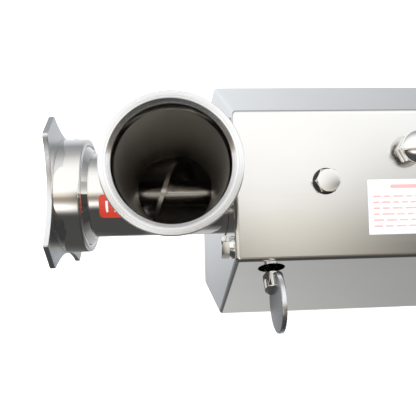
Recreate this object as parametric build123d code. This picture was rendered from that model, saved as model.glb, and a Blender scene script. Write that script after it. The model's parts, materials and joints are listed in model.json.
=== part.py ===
from build123d import *
import os
from math import acos, atan2, cos, degrees, pi, radians, sin, tan

# Motor-driven fruit crusher: a screw-feed crushing head plugged into a cased gear motor.
# Millimetres.  X runs along the barrel, from the outlet to the back of the casing,
# Z is up, and the origin is on the table under the middle of the machine.

# ---- Overall sizes -----------------------------------------------------------------------
AXIS_Z = 400.0            # barrel axis above the table
CASE_LENGTH = 420.0       # casing, front face to back edge
CASE_TOP = 76.0           # casing top above the barrel axis
CASE_TOP_HALF = 64.0      # half width of the flat top
CASE_HALF = 140.0         # half width of the upright sides
CASE_KNEE = 95.0          # drop from the barrel axis to where the slopes turn upright
FOOT_HEIGHT = 12.0        # rubber feet under the base
GLAND_REACH = 18.0        # cable gland beyond the casing's back edge

# ---- Fits --------------------------------------------------------------------------------
GAP = 0.3                 # between faces of pieces that move apart
RUN = 0.05                # radial running clearance of a shaft in its bearing
SLIDE = 0.1               # radial clearance of the head's shank in its socket
EASE = 0.2                # clearance of sheet pieces that slip inside each other

# ---- Crushing head -----------------------------------------------------------------------
BARREL_R = 41.5           # barrel tube, outside
BARREL_BORE_R = 37.0
BARREL_OUT = 152.3        # casing face to the barrel's front face
SHANK_IN = 46.0           # length of barrel inside the socket
THROAT_BACK = 49.8        # casing face to the throat's axis
THROAT_R = 37.0           # throat tube, outside
THROAT_BORE_R = 34.0
THROAT_TOP = 208.0        # rim top above the barrel axis
RIM_R = 39.6
RIM_BORE_R = 32.8
RIM_HEIGHT = 14.0
FLANGE_R = BARREL_R + 7.3 # threaded front flange, drawn as a plain cylinder
FLANGE_LENGTH = 23.5
FLANGE_BEVEL = 5.0        # bevel where the flange runs back into the barrel
RECESS_DEPTH = 19.0       # counterbore that holds the crushing plate and the knife
PLATE_R = BARREL_R - 0.5  # crushing plate
PLATE_THICK = 10.0
PLATE_PROUD = 3.7         # crushing plate beyond the barrel's front face
PLATE_HOLE_R = 4.0
KEY_PIN_R = 2.5
KEY_PIN_LENGTH = 10.0
NUT_R = FLANGE_R + 7.2    # ring nut
NUT_LENGTH = 23.4
NUT_BEVEL = 1.2           # at the open end, inside and out
NUT_THREAD_GAP = 0.3      # the mating threads are drawn as two plain cylinders
EAR_THICK = 4.6           # eared plate welded across the ring nut
EAR_TIP = 68.6            # far coordinate of an ear's two corners
EAR_SHOULDER = 47.3       # near coordinate of an ear's two corners
EAR_ROUND = 3.5
OUTLET_R = 36.0           # product outlet through the eared plate
BACK_WALL = 10.0          # wall that closes the barrel behind the throat
BACK_WALL_IN = 8.0        # its front face ahead of the casing face

# ---- Feed screw and knife ----------------------------------------------------------------
CORE_R = 13.0
FLIGHT_R = 36.3
FLIGHT_PITCH = 76.0
FLIGHT_THICK = 4.0
FLIGHT_CREST = -60.5      # where a crest passes the top, from the casing face
JOURNAL_R = 12.0
COLLAR_R = 22.0
COLLAR_LENGTH = 7.0
TANG_SIDE = 15.0          # square drive tang
TANG_REACH = 43.0         # tang tip behind the casing face
WASHER_THICK = 3.0
BUSH_R = 16.0
STUD_SIDE = 12.0          # square that drives the knife
STUD_TIP_R = 6.0          # journal that runs in the crushing plate
KNIFE_THICK = 9.0
KNIFE_R = 35.5
KNIFE_HUB_R = 12.5
KNIFE_ARM = 11.0

# ---- Socket and locking bolt -------------------------------------------------------------
SHEET = 1.5               # casing sheet
BEND_R = 4.6              # outside radius of the casing's bends
SOCKET_FLANGE = 10.0
SOCKET_FLANGE_HALF = 65.0
SOCKET_FLANGE_UP = 66.0
SOCKET_FLANGE_DOWN = 94.0
SOCKET_R = 52.0
PANEL_HOLE_R = BARREL_R + 2.1          # round opening in the casing's front for the barrel
FLANGE_BOLT_Y = 53.0
FLANGE_BOLT_Z = 58.0
FLANGE_BOLT_LOW = 80.0
M10_R = 5.0
HEX_CROWN = 0.575         # crown circle's radius, as a share of the hexagon across its flats
HEX_BEVEL = 1.3
M10_HEAD_ACROSS = 17.0
M10_HEAD_HEIGHT = 6.9
M10_WASHER_R = 10.0       # plain washer
M10_SPRING_R = 8.7        # spring washer on it
M10_WASHER_THICK = 1.8    # each of the two
LOCK_BACK = 33.9          # casing face to the locking bolt's axis
LOCK_TILT = 39.0          # locking bolt above the horizontal
LOCK_STEM_R = 6.0
LOCK_BOSS_R = 14.0
LOCK_BOSS_REACH = 66.0    # boss end from the barrel axis
LOCK_HOLE_R = 12.0        # opening in the sloped side
LOCK_NECK = 8.0           # bare stem outside the sloped side
LOCK_TIP_GAP = 0.4        # tip to the barrel, backed off a little
LOCK_HEAD_R = 9.0
LOCK_HEAD_LENGTH = 15.0
DISC_R = 25.0
DISC_THICK = 4.0
DISC_BITE = 13.5          # how deep the disc sits in the slotted head

# ---- Gear train --------------------------------------------------------------------------
PRESSURE_ANGLE = 25.0
ADDENDUM = 0.95           # tooth above and below the pitch circle, in modules
DEDENDUM = 1.25
BACKLASH = 0.35
LOW_MODULE = 2.5
LOW_WHEEL_TEETH = 40
LOW_PINION_TEETH = 16
HIGH_MODULE = 1.5
HIGH_WHEEL_TEETH = 48
HIGH_PINION_TEETH = 16
LAY_DROP = LOW_MODULE * (LOW_WHEEL_TEETH + LOW_PINION_TEETH) / 2
MOTOR_DROP = LAY_DROP + HIGH_MODULE * (HIGH_WHEEL_TEETH + HIGH_PINION_TEETH) / 2
LOW_FACE = 22.0
HIGH_FACE = 22.0
KEY_WIDTH = 8.0           # key of the large wheel
KEY_DEPTH = 4.0
KEY_PROUD = 3.0
SHOULDER = 2.0            # step between a bearing seat and the shaft beside it

# ---- Gearbox -----------------------------------------------------------------------------
BOX_FRONT = 48.0          # casing face to the gearbox's front face
BOX_LENGTH = 124.0
BOX_WALL = 8.0
WHEEL_CLEAR = 1.5         # inside of the box to the large wheel's tips
BOX_HALF = LOW_MODULE * (LOW_WHEEL_TEETH / 2 + 1) + WHEEL_CLEAR + BOX_WALL
BOX_UP = BOX_HALF
BOX_DOWN = 150.0
BOX_FRONT_WALL = 10.0
BOX_CORNER_R = 12.0
COVER_THICK = 12.0
M5_R = 2.5
M5_CLEAR_R = 3.2
M5_HEAD_R = 4.5
M5_HEAD_HEIGHT = 6.0
COVER_SCREW_IN = 14.0     # corner screws from the box wall's corners
COVER_SCREW_LOW = 30.0    # lower screws each side of the middle
BEARING_BIG = (40.0, 20.0, 18.0)      # outside radius, bore radius, width
BEARING_MID = (31.0, 15.0, 16.0)
BEARING_LAY = (23.5, 10.0, 14.0)
BEARING_MOTOR = (26.0, 12.5, 15.0)
BEARING_BOSS = 5.0        # metal around a bearing
COVER_BOSS = 4.0          # metal around the layshaft's bearing in the cover
DRAIN_R = 5.0
DRAIN_HEAD_R = 8.0
DRAIN_HEAD_HEIGHT = 6.0
DRAIN_IN = 30.0           # drain plug ahead of the cover
DRAIN_UP = 18.0           # and above the box's underside
SEAL_R = 30.0
FILLER_BACK = 79.9        # casing face to the filler plug
FILLER_Y = 2.3
BREATHER_BACK = 157.1
BREATHER_Y = 28.7
PLUG_R = 6.5              # threaded shanks of plug and breather
PLUG_ACROSS = 19.0
PLUG_HEIGHT = 7.0
PLUG_END = 2.0            # plug's tip above the inside of the gearbox roof
WASHER_SHEET = 1.5
BREATHER_HEX_HEIGHT = 6.0
BREATHER_CAP_R = 14.0
BREATHER_LIP = 10.5       # cap's lower edge above the casing's top
BREATHER_LIP_EDGE = 2.6   # upright edge of the cap
BREATHER_TOP = 20.0
BREATHER_VENT_R = 2.0

# ---- Motor -------------------------------------------------------------------------------
MOTOR_R = 72.0
MOTOR_WALL = 5.0
MOTOR_SHIELD = 16.0
MOTOR_BODY = 136.0
ROTOR_R = 42.4
ROTOR_LENGTH = 104.0
AIR_GAP = 0.6
ROTOR_SEAT_R = 16.0       # motor shaft inside the rotor
MOTOR_SEAL_SEAT_R = 10.0  # motor shaft through the seal
MOTOR_SEAL_R = 20.0
WINDING_REACH = 10.0      # windings beyond the stator's ends
FIN_HEIGHT = 4.0
FIN_THICK = 2.4
FIN_COUNT = 24
FAN_R = 58.0
FAN_HUB_R = 16.0
FAN_SEAT_R = 9.0
FAN_SHEET = 2.0
FAN_BLADES = 8
FAN_WIDTH = 18.0
COWL_LENGTH = 40.0
COWL_SHEET = 1.5
COWL_GRIP = 8.0           # cowl over the rear shield
COWL_HOLE_R = 4.0
COWL_HOLES = ((20.0, 8), (36.0, 14), (52.0, 20))     # radius and number in each ring
COWL_R = MOTOR_R + COWL_SHEET          # slips over the rear shield

# ---- Base, back and fittings -------------------------------------------------------------
BASE_SHEET = 3.0
BASE_LIP = 24.0
FOOT_R = 18.0
FOOT_INSET = 26.0
BACK_SHEET = 2.0
BACK_LIP = 16.0
STAND_SHEET = 4.0
STAND_IN = 10.0           # stand inside the gearbox's edges
STAND_TAB = 22.0
SADDLE_SHEET = 5.0
SADDLE_HALF = 48.0
SADDLE_FOOT = 26.0
CASE_SCREW_R = 2.2
CASE_SCREW_HEAD_R = 4.2
CASE_SCREW_HEAD = 2.4
LOUVRES = 9
LOUVRE_PITCH = 14.0
LOUVRE_TOP = -30.0        # highest louvre, from the barrel axis
LOUVRE_LENGTH = 120.0
LOUVRE_WIDTH = 6.0
GLAND_Y = 80.0
GLAND_UP = 60.0           # above the casing's lower edge
GLAND_ACROSS = 24.0
GLAND_DOME_R = 10.5
GLAND_THREAD_R = 8.0
CORD_BORE_R = 4.2
SWITCH_BACK = 340.0       # casing face to the middle of the switch plate
SWITCH_DOWN = 62.0        # down the slope from the top bend to the switch plate
SWITCH_LENGTH = 92.0
SWITCH_WIDTH = 50.0
SWITCH_THICK = 3.0
SWITCH_BODY = 26.0        # switch block behind the plate
WELL_DEPTH = 20.0         # button wells below the slope
BUTTON_R = 11.0
BUTTON_PITCH = 42.0
BUTTON_REACH = 7.0        # button cap beyond the switch plate
BUTTON_TRAVEL = 4.0
LABEL_LENGTH = 84.0
LABEL_WIDTH = 47.5
LABEL_BACK = 158.2
LABEL_Y = -20.8
LABEL_THICK = 0.3
BADGE_SPAN = 31.0         # mark on the barrel, as degrees of the tube
BADGE_TURN = 109.0        # its middle, from +Y towards the top
BADGE_LENGTH = 22.0
BADGE_START = 9.5         # behind the front flange

# ---- Stations worked out from the sizes above --------------------------------------------
HEAD_REACH = BARREL_OUT + PLATE_PROUD + GAP + EAR_THICK
FRONT_X = (HEAD_REACH - CASE_LENGTH - GLAND_REACH) / 2
REAR_X = FRONT_X + CASE_LENGTH
BASE_Z = FOOT_HEIGHT - AXIS_Z         # casing's lower edge, from the barrel axis
FLANGE_FRONT = -BARREL_OUT
TUBE_FRONT = FLANGE_FRONT + FLANGE_LENGTH
PLATE_FRONT = FLANGE_FRONT - PLATE_PROUD
PLATE_BACK = PLATE_FRONT + PLATE_THICK
EAR_BACK = PLATE_FRONT - GAP
KNIFE_FRONT = PLATE_BACK + GAP
KNIFE_BACK = KNIFE_FRONT + KNIFE_THICK
BACK_WALL_FRONT = -BACK_WALL_IN
COLLAR_BACK = BACK_WALL_FRONT - GAP - WASHER_THICK
SOCKET_FRONT = SHEET
SHAFT_FRONT = 22.0
BIG_SEAT = BOX_FRONT + 6.0
LAY_SEAT = BOX_FRONT + BOX_FRONT_WALL
COVER_FRONT = BOX_FRONT + BOX_LENGTH
COVER_BACK = COVER_FRONT + COVER_THICK
LOW_GEAR_X = BIG_SEAT + BEARING_BIG[2] + 6.0
HIGH_GEAR_X = LOW_GEAR_X + LOW_FACE + 12.0
MOTOR_FRONT = COVER_BACK
MOTOR_TUBE_X = MOTOR_FRONT + MOTOR_SHIELD
MOTOR_REAR = MOTOR_TUBE_X + MOTOR_BODY
ROTOR_X = MOTOR_TUBE_X + (MOTOR_BODY - ROTOR_LENGTH) / 2
REAR_SHIELD_BACK = MOTOR_REAR + BEARING_LAY[2]
FAN_X = REAR_SHIELD_BACK + 4.0
SLOPE_ANGLE = degrees(atan2(CASE_HALF - CASE_TOP_HALF, CASE_TOP + CASE_KNEE))
LOCK_DIR = (0.0, -cos(radians(LOCK_TILT)), sin(radians(LOCK_TILT)))


def slope_radius():
    """Distance from the barrel axis to the sloped side, along the locking bolt."""
    across = cos(radians(SLOPE_ANGLE))
    rise = sin(radians(SLOPE_ANGLE))
    to_plane = CASE_TOP_HALF * across + CASE_TOP * rise
    along = -LOCK_DIR[1] * across + LOCK_DIR[2] * rise
    return to_plane / along


LOCK_SURFACE = slope_radius()
LOCK_HEAD_START = LOCK_SURFACE + LOCK_NECK
DISC_CENTRE = LOCK_HEAD_START + LOCK_HEAD_LENGTH - DISC_BITE + DISC_R


# ---- Placing helpers: x from the casing face, y and z from the barrel axis ---------------
def at(x, y=0.0, z=0.0):
    return Pos(FRONT_X + x, y, AXIS_Z + z)


def x_rod(radius, x0, x1, y=0.0, z=0.0):
    """Cylinder along X between two stations."""
    rod = Cylinder(radius, x1 - x0, align=(Align.CENTER, Align.CENTER, Align.MIN))
    return at(x0, y, z) * Rot(0, 90, 0) * rod


def x_tube(radius, bore, x0, x1, y=0.0, z=0.0):
    return x_rod(radius, x0, x1, y, z) - x_rod(bore, x0 - 1, x1 + 1, y, z)


def z_rod(radius, z0, z1, x, y=0.0):
    rod = Cylinder(radius, z1 - z0, align=(Align.CENTER, Align.CENTER, Align.MIN))
    return at(x, y, z0) * rod


def z_hexagon(across, z0, z1, x, y=0.0):
    flats = RegularPolygon(across / 2, 6, major_radius=False)
    return at(x, y, z0) * extrude(flats, z1 - z0)


def x_prism(sketch, x0, x1):
    """Extrude a Y-Z sketch, drawn from the barrel axis, along X."""
    plane = Plane(origin=(FRONT_X + x0, 0, AXIS_Z), x_dir=(0, 1, 0), z_dir=(1, 0, 0))
    return extrude(plane * sketch, x1 - x0)


def block(x0, x1, y0, y1, z0, z1):
    corner = (Align.MIN, Align.MIN, Align.MIN)
    return at(x0, y0, z0) * Box(x1 - x0, y1 - y0, z1 - z0, align=corner)


def lock_rod(radius, r0, r1):
    """Cylinder along the locking bolt's axis, between two distances from the barrel axis."""
    start = (FRONT_X + LOCK_BACK, LOCK_DIR[1] * r0, AXIS_Z + LOCK_DIR[2] * r0)
    plane = Plane(origin=start, x_dir=(1, 0, 0), z_dir=LOCK_DIR)
    return plane * Cylinder(radius, r1 - r0, align=(Align.CENTER, Align.CENTER, Align.MIN))


def slope_plane(x, down):
    """Plane on the front slope, `down` millimetres below the top bend, facing outwards."""
    lean = radians(SLOPE_ANGLE)
    y = -CASE_TOP_HALF - down * sin(lean)
    z = CASE_TOP - down * cos(lean)
    origin = (FRONT_X + x, y, AXIS_Z + z)
    return Plane(origin=origin, x_dir=(1, 0, 0), z_dir=(0, -cos(lean), sin(lean)))


# ---- Crushing head -----------------------------------------------------------------------
def barrel_tube():
    tube = x_tube(BARREL_R, BARREL_BORE_R, TUBE_FRONT, SHANK_IN)
    return tube - z_rod(THROAT_BORE_R, 0, BARREL_R + 5, -THROAT_BACK)


def front_flange():
    rod = x_rod(FLANGE_R, FLANGE_FRONT, TUBE_FRONT)
    rod = chamfer(rod.edges().filter_by(GeomType.CIRCLE).group_by(Axis.X)[-1], FLANGE_BEVEL)
    ring = rod - x_rod(BARREL_BORE_R, FLANGE_FRONT - 1, TUBE_FRONT + 1)
    ring -= x_rod(PLATE_R + EASE, FLANGE_FRONT - 1, FLANGE_FRONT + RECESS_DEPTH)
    return ring - key_pin_rod()


def key_pin_rod():
    """Pin that stops the crushing plate from turning, in the flange's underside."""
    outer = FLANGE_R - 1.0
    middle = (FLANGE_FRONT + PLATE_BACK) / 2
    return z_rod(KEY_PIN_R, -outer, -outer + KEY_PIN_LENGTH, middle)


def feed_throat():
    bottom = 0.0
    top = THROAT_TOP - RIM_HEIGHT
    tube = z_rod(THROAT_R, bottom, top, -THROAT_BACK)
    tube -= z_rod(THROAT_BORE_R, bottom - 1, top + 1, -THROAT_BACK)
    return tube - x_rod(BARREL_R, -THROAT_BACK - 2 * THROAT_R, -THROAT_BACK + 2 * THROAT_R)


def throat_rim():
    bottom = THROAT_TOP - RIM_HEIGHT
    ring = z_rod(RIM_R, bottom, THROAT_TOP, -THROAT_BACK)
    ring = chamfer(ring.edges().group_by(Axis.Z)[-1], 0.6)
    return ring - z_rod(RIM_BORE_R, bottom - 1, THROAT_TOP + 1, -THROAT_BACK)


def back_wall():
    return x_tube(BARREL_BORE_R, BUSH_R, BACK_WALL_FRONT, BACK_WALL_FRONT + BACK_WALL)


def screw_bush():
    return x_tube(BUSH_R, JOURNAL_R + RUN, BACK_WALL_FRONT, BACK_WALL_FRONT + BACK_WALL + 2)


def plate_hole_rings():
    """Radius and number of holes in each ring of the crushing plate."""
    return [(13.0, 8), (23.0, 14), (33.0, 20)]


def crushing_plate():
    plate = x_rod(PLATE_R, PLATE_FRONT, PLATE_BACK)
    tools = [x_rod(STUD_TIP_R + RUN, PLATE_FRONT - 1, PLATE_BACK + 1)]
    for radius, count in plate_hole_rings():
        for i in range(count):
            turn = 2 * pi * (i + 0.5) / count
            y = radius * cos(turn)
            z = radius * sin(turn)
            tools.append(x_rod(PLATE_HOLE_R, PLATE_FRONT - 1, PLATE_BACK + 1, y, z))
    notch_top = -FLANGE_R + 1.0 + KEY_PIN_LENGTH + EASE
    notch_half = KEY_PIN_R + EASE
    tools.append(block(PLATE_FRONT - 1, PLATE_BACK + 1, -notch_half, notch_half, -PLATE_R - 5, notch_top))
    return plate - tools


def barrel_badge():
    """Thin round-cornered mark wrapped on the front of the barrel."""
    start = TUBE_FRONT + BADGE_START
    skin = x_tube(BARREL_R + LABEL_THICK, BARREL_R, start, start + BADGE_LENGTH)
    half = radians(BADGE_SPAN / 2)
    reach = 3 * BARREL_R
    wedge = Polygon((0, 0), (reach, -reach * tan(half)), (reach, reach * tan(half)), align=None)
    # the wedge points up and towards the operator, away from the throat
    return skin & x_prism(Rot(0, 0, BADGE_TURN) * wedge, start - 1, start + BADGE_LENGTH + 1)


# ---- Ring nut ----------------------------------------------------------------------------
def ring_nut():
    thread_r = FLANGE_R + NUT_THREAD_GAP
    ring = x_tube(NUT_R, thread_r, EAR_BACK, EAR_BACK + NUT_LENGTH)
    mouth = ring.edges().filter_by(GeomType.CIRCLE).group_by(Axis.X)[-1]
    return chamfer(mouth, NUT_BEVEL)


def ring_nut_ears():
    """Four-eared plate: hollow sides between blunt corner ears, with the outlet through it."""
    a = EAR_SHOULDER
    b = EAR_TIP
    side = NUT_R
    outline = [
        ThreePointArc((-a, b), (0, side), (a, b)),
        Line((a, b), (b, a)),
        ThreePointArc((b, a), (side, 0), (b, -a)),
        Line((b, -a), (a, -b)),
        ThreePointArc((a, -b), (0, -side), (-a, -b)),
        Line((-a, -b), (-b, -a)),
        ThreePointArc((-b, -a), (-side, 0), (-b, a)),
        Line((-b, a), (-a, b)),
    ]
    face = make_face(outline)
    face = fillet(face.vertices(), EAR_ROUND)
    return x_prism(face - Circle(OUTLET_R), EAR_BACK - EAR_THICK, EAR_BACK)


# ---- Feed screw --------------------------------------------------------------------------
def screw_flight():
    """Left-hand helical flight around the core."""
    start_x = KNIFE_BACK + 4
    length = COLLAR_BACK - 2 - start_x
    middle_r = (FLIGHT_R + CORE_R - 1) / 2
    centre = (FRONT_X + start_x, 0, AXIS_Z)
    path = Helix(FLIGHT_PITCH, length, middle_r, center=centre, direction=(1, 0, 0), lefthand=True)
    start = path @ 0
    out = Vector(0, start.Y, start.Z - AXIS_Z).normalized()
    plane = Plane(origin=start, x_dir=out, z_dir=path % 0)
    section = plane * Rectangle(FLIGHT_R - CORE_R + 1, FLIGHT_THICK)
    flight = sweep(section, path=path, is_frenet=True)
    phase = 360.0 * (FLIGHT_CREST - start_x) / FLIGHT_PITCH
    return flight.rotate(Axis((0, 0, AXIS_Z), (1, 0, 0)), phase)


def feed_screw():
    body = x_rod(CORE_R, KNIFE_BACK, COLLAR_BACK) + screw_flight()
    body += x_rod(COLLAR_R, COLLAR_BACK - COLLAR_LENGTH, COLLAR_BACK)
    journal_end = BACK_WALL_FRONT + BACK_WALL + 8
    body += x_rod(JOURNAL_R, COLLAR_BACK, journal_end)
    half = TANG_SIDE / 2
    body += block(journal_end - 1, TANG_REACH, -half, half, -half, half)
    return body - x_rod(STUD_TIP_R, KNIFE_BACK - 1, KNIFE_BACK + 14)


def thrust_washer():
    return x_tube(COLLAR_R, JOURNAL_R, COLLAR_BACK, COLLAR_BACK + WASHER_THICK)


def screw_stud():
    """Square that carries the knife, with a journal each end."""
    half = STUD_SIDE / 2
    stud = block(KNIFE_FRONT, KNIFE_BACK, -half, half, -half, half)
    stud += x_rod(STUD_TIP_R, KNIFE_BACK, KNIFE_BACK + 14)
    return stud + x_rod(STUD_TIP_R, PLATE_FRONT + 1, KNIFE_FRONT)


def crushing_knife():
    knife = x_rod(KNIFE_HUB_R, KNIFE_FRONT, KNIFE_BACK)
    half = KNIFE_ARM / 2
    for turn in (0, 90, 180, 270):
        arm = Pos(KNIFE_R / 2, 0) * Rectangle(KNIFE_R, KNIFE_ARM)
        knife += x_prism(Rot(0, 0, turn + 45) * arm, KNIFE_FRONT, KNIFE_BACK)
    half = STUD_SIDE / 2
    knife -= block(KNIFE_FRONT - 1, KNIFE_BACK + 1, -half, half, -half, half)
    return knife & x_rod(KNIFE_R, KNIFE_FRONT, KNIFE_BACK)


# ---- Head socket and its bolts -----------------------------------------------------------
def flange_bolt_spots():
    return [(-FLANGE_BOLT_Y, FLANGE_BOLT_Z), (FLANGE_BOLT_Y, FLANGE_BOLT_Z), (0.0, -FLANGE_BOLT_LOW)]


def head_socket():
    back = SOCKET_FRONT + SOCKET_FLANGE
    outline = Pos(0, (SOCKET_FLANGE_UP - SOCKET_FLANGE_DOWN) / 2) * RectangleRounded(
        2 * SOCKET_FLANGE_HALF, SOCKET_FLANGE_UP + SOCKET_FLANGE_DOWN, BOX_CORNER_R)
    body = x_prism(outline, SOCKET_FRONT, back) + x_rod(SOCKET_R, back - 1, BOX_FRONT)
    body += lock_rod(LOCK_BOSS_R, BARREL_R + 5, LOCK_BOSS_REACH)
    body -= x_rod(BARREL_R + SLIDE, 0, BOX_FRONT + 1)
    body -= lock_rod(LOCK_STEM_R + RUN, BARREL_R - 5, LOCK_BOSS_REACH + 1)
    for y, z in flange_bolt_spots():
        body -= x_rod(M10_R, 0, back + 1, y, z)
    return body


def flange_washers():
    """Plain washer with a spring washer on it, drawn as one piece."""
    washers = []
    thick = M10_WASHER_THICK
    for y, z in flange_bolt_spots():
        pair = x_rod(M10_WASHER_R, -thick, 0, y, z) + x_rod(M10_SPRING_R, -2 * thick, -thick, y, z)
        washers.append(pair - x_rod(M10_R, -2 * thick - 1, 1, y, z))
    return washers


def flange_bolts():
    bolts = []
    for y, z in flange_bolt_spots():
        seat = -2 * M10_WASHER_THICK
        head = Pos(y, z) * RegularPolygon(M10_HEAD_ACROSS / 2, 6, major_radius=False)
        crown = x_rod(M10_HEAD_ACROSS * HEX_CROWN, seat - M10_HEAD_HEIGHT, seat, y, z)
        crown = chamfer(crown.edges().filter_by(GeomType.CIRCLE).group_by(Axis.X)[0], HEX_BEVEL)
        bolt = x_prism(head, seat - M10_HEAD_HEIGHT, seat) & crown
        bolts.append(bolt + x_rod(M10_R, seat, SOCKET_FRONT + SOCKET_FLANGE, y, z))
    return bolts


def disc_blank():
    """Grip disc standing in the plane of the locking bolt."""
    y = LOCK_DIR[1] * DISC_CENTRE
    z = LOCK_DIR[2] * DISC_CENTRE
    half = DISC_THICK / 2
    disc = x_rod(DISC_R, LOCK_BACK - half, LOCK_BACK + half, y, z)
    return chamfer(disc.edges(), 0.5)


def lock_bolt():
    tip = BARREL_R + LOCK_TIP_GAP
    body = lock_rod(LOCK_STEM_R, tip, LOCK_HEAD_START)
    head = lock_rod(LOCK_HEAD_R, LOCK_HEAD_START, LOCK_HEAD_START + LOCK_HEAD_LENGTH)
    return body + chamfer(head.edges(), 0.8) - disc_blank()


# ---- Gears -------------------------------------------------------------------------------
def gear_outline(module, teeth, turn):
    """Involute spur gear outline with tip and root arcs left as short chords."""
    pitch_r = module * teeth / 2
    base_r = pitch_r * cos(radians(PRESSURE_ANGLE))
    tip_r = pitch_r + module * ADDENDUM
    root_r = pitch_r - module * DEDENDUM
    half_tooth = pi / (2 * teeth) - BACKLASH / (4 * pitch_r)

    def involute(radius):
        angle = acos(min(1.0, base_r / radius))
        return tan(angle) - angle

    def flank_angle(radius):
        return half_tooth + involute(pitch_r) - involute(max(radius, base_r))

    start_r = max(root_r, base_r)
    steps = 4
    radii = [start_r + (tip_r - start_r) * i / steps for i in range(steps + 1)]
    if root_r < base_r:
        radii.insert(0, root_r)
    points = []
    for i in range(teeth):
        middle = radians(turn) + 2 * pi * i / teeth
        turns = [(r, middle - flank_angle(r)) for r in radii]
        turns += [(r, middle + flank_angle(r)) for r in reversed(radii)]
        points += [(r * cos(angle), r * sin(angle)) for r, angle in turns]
    return Polygon(*points, align=None)


def spur_gear(module, teeth, face, x, z, turn):
    """Gear in the Y-Z plane; `turn` places a tooth at that angle from +Y."""
    return x_prism(Pos(0, z) * gear_outline(module, teeth, turn), x, x + face)


TOOTH_DOWN = 270.0        # turn that points a tooth straight down


def gap_up(teeth):
    """Turn that points a gap straight up."""
    return 90.0 + 180.0 / teeth


# ---- Output shaft ------------------------------------------------------------------------
def output_key_block():
    half = KEY_WIDTH / 2
    seat = BEARING_BIG[1]
    return block(LOW_GEAR_X, LOW_GEAR_X + LOW_FACE, -half, half, seat - KEY_DEPTH, seat + KEY_PROUD)


def output_shaft():
    seat = BEARING_BIG[1]
    shoulder = LOW_GEAR_X + LOW_FACE
    rear_seat = COVER_FRONT - BEARING_MID[2]
    body = x_rod(seat, SHAFT_FRONT, shoulder) + x_rod(seat - SHOULDER, shoulder, rear_seat)
    body += x_rod(BEARING_MID[1], rear_seat, COVER_FRONT - 1)
    half = TANG_SIDE / 2 + GAP
    body -= block(SHAFT_FRONT - 1, TANG_REACH + 3, -half, half, -half, half)
    return body - output_key_block()


def output_gear():
    wheel = spur_gear(LOW_MODULE, LOW_WHEEL_TEETH, LOW_FACE, LOW_GEAR_X, 0, TOOTH_DOWN)
    wheel -= x_rod(BEARING_BIG[1], LOW_GEAR_X - 1, LOW_GEAR_X + LOW_FACE + 1)
    return wheel - output_key_block()


# ---- Layshaft ----------------------------------------------------------------------------
def layshaft():
    z = -LAY_DROP
    end_r = BEARING_LAY[1]
    front = LAY_SEAT + BEARING_LAY[2]
    back = COVER_FRONT - BEARING_LAY[2]
    body = x_rod(end_r, LAY_SEAT + 0.5, front, 0, z) + x_rod(end_r + SHOULDER, front, back, 0, z)
    body += x_rod(end_r, back, COVER_FRONT - 1, 0, z)
    turn = gap_up(LOW_PINION_TEETH)
    return body + spur_gear(LOW_MODULE, LOW_PINION_TEETH, LOW_FACE + 2, LOW_GEAR_X - 1, z, turn)


def layshaft_gear():
    z = -LAY_DROP
    wheel = spur_gear(HIGH_MODULE, HIGH_WHEEL_TEETH, HIGH_FACE, HIGH_GEAR_X, z, TOOTH_DOWN)
    return wheel - x_rod(BEARING_LAY[1] + SHOULDER, HIGH_GEAR_X - 1, HIGH_GEAR_X + HIGH_FACE + 1, 0, z)


# ---- Motor rotor -------------------------------------------------------------------------
def motor_shaft():
    z = -MOTOR_DROP
    pinion_end = HIGH_GEAR_X + HIGH_FACE
    turn = gap_up(HIGH_PINION_TEETH)
    body = spur_gear(HIGH_MODULE, HIGH_PINION_TEETH, HIGH_FACE, HIGH_GEAR_X, z, turn)
    body += x_rod(MOTOR_SEAL_SEAT_R, pinion_end, MOTOR_FRONT, 0, z)
    body += x_rod(BEARING_MOTOR[1], MOTOR_FRONT, MOTOR_TUBE_X + 2, 0, z)
    body += x_rod(ROTOR_SEAT_R, MOTOR_TUBE_X + 2, MOTOR_REAR - 4, 0, z)
    body += x_rod(BEARING_LAY[1], MOTOR_REAR - 4, REAR_SHIELD_BACK + 2, 0, z)
    return body + x_rod(FAN_SEAT_R, REAR_SHIELD_BACK + 2, FAN_X + FAN_WIDTH, 0, z)


def rotor_core():
    return x_tube(ROTOR_R, ROTOR_SEAT_R, ROTOR_X, ROTOR_X + ROTOR_LENGTH, 0, -MOTOR_DROP)


def cooling_fan():
    z = -MOTOR_DROP
    fan = x_rod(FAN_HUB_R, FAN_X, FAN_X + FAN_WIDTH, 0, z) + x_rod(FAN_R, FAN_X, FAN_X + FAN_SHEET, 0, z)
    for i in range(FAN_BLADES):
        length = FAN_R - FAN_HUB_R + 2
        blade = Pos(FAN_R - length / 2 - 0.5, 0) * Rectangle(length, FAN_SHEET)
        turned = Pos(0, z) * Rot(0, 0, 360 / FAN_BLADES * i) * blade
        fan += x_prism(turned, FAN_X + FAN_SHEET, FAN_X + FAN_WIDTH)
    return fan - x_rod(FAN_SEAT_R, FAN_X - 1, FAN_X + FAN_WIDTH + 1, 0, z)


# ---- Gearbox -----------------------------------------------------------------------------
def box_outline(inset=0.0):
    middle = (BOX_UP - BOX_DOWN) / 2
    high = BOX_UP + BOX_DOWN - 2 * inset
    return Pos(0, middle) * RectangleRounded(2 * (BOX_HALF - inset), high, BOX_CORNER_R - inset / 2)


def cover_screw_spots():
    """Screws around the gearbox cover, in the middle of the box wall."""
    edge = BOX_HALF - BOX_WALL / 2
    top = BOX_UP - BOX_WALL / 2
    bottom = -BOX_DOWN + BOX_WALL / 2
    heights = (top - COVER_SCREW_IN, (top + bottom) / 2, bottom + COVER_SCREW_IN)
    spots = [(side * edge, z) for side in (-1, 1) for z in heights]
    return spots + [(0.0, top), (-COVER_SCREW_LOW, bottom), (COVER_SCREW_LOW, bottom)]


def top_fittings():
    return [(FILLER_BACK, FILLER_Y), (BREATHER_BACK, BREATHER_Y)]


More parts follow.
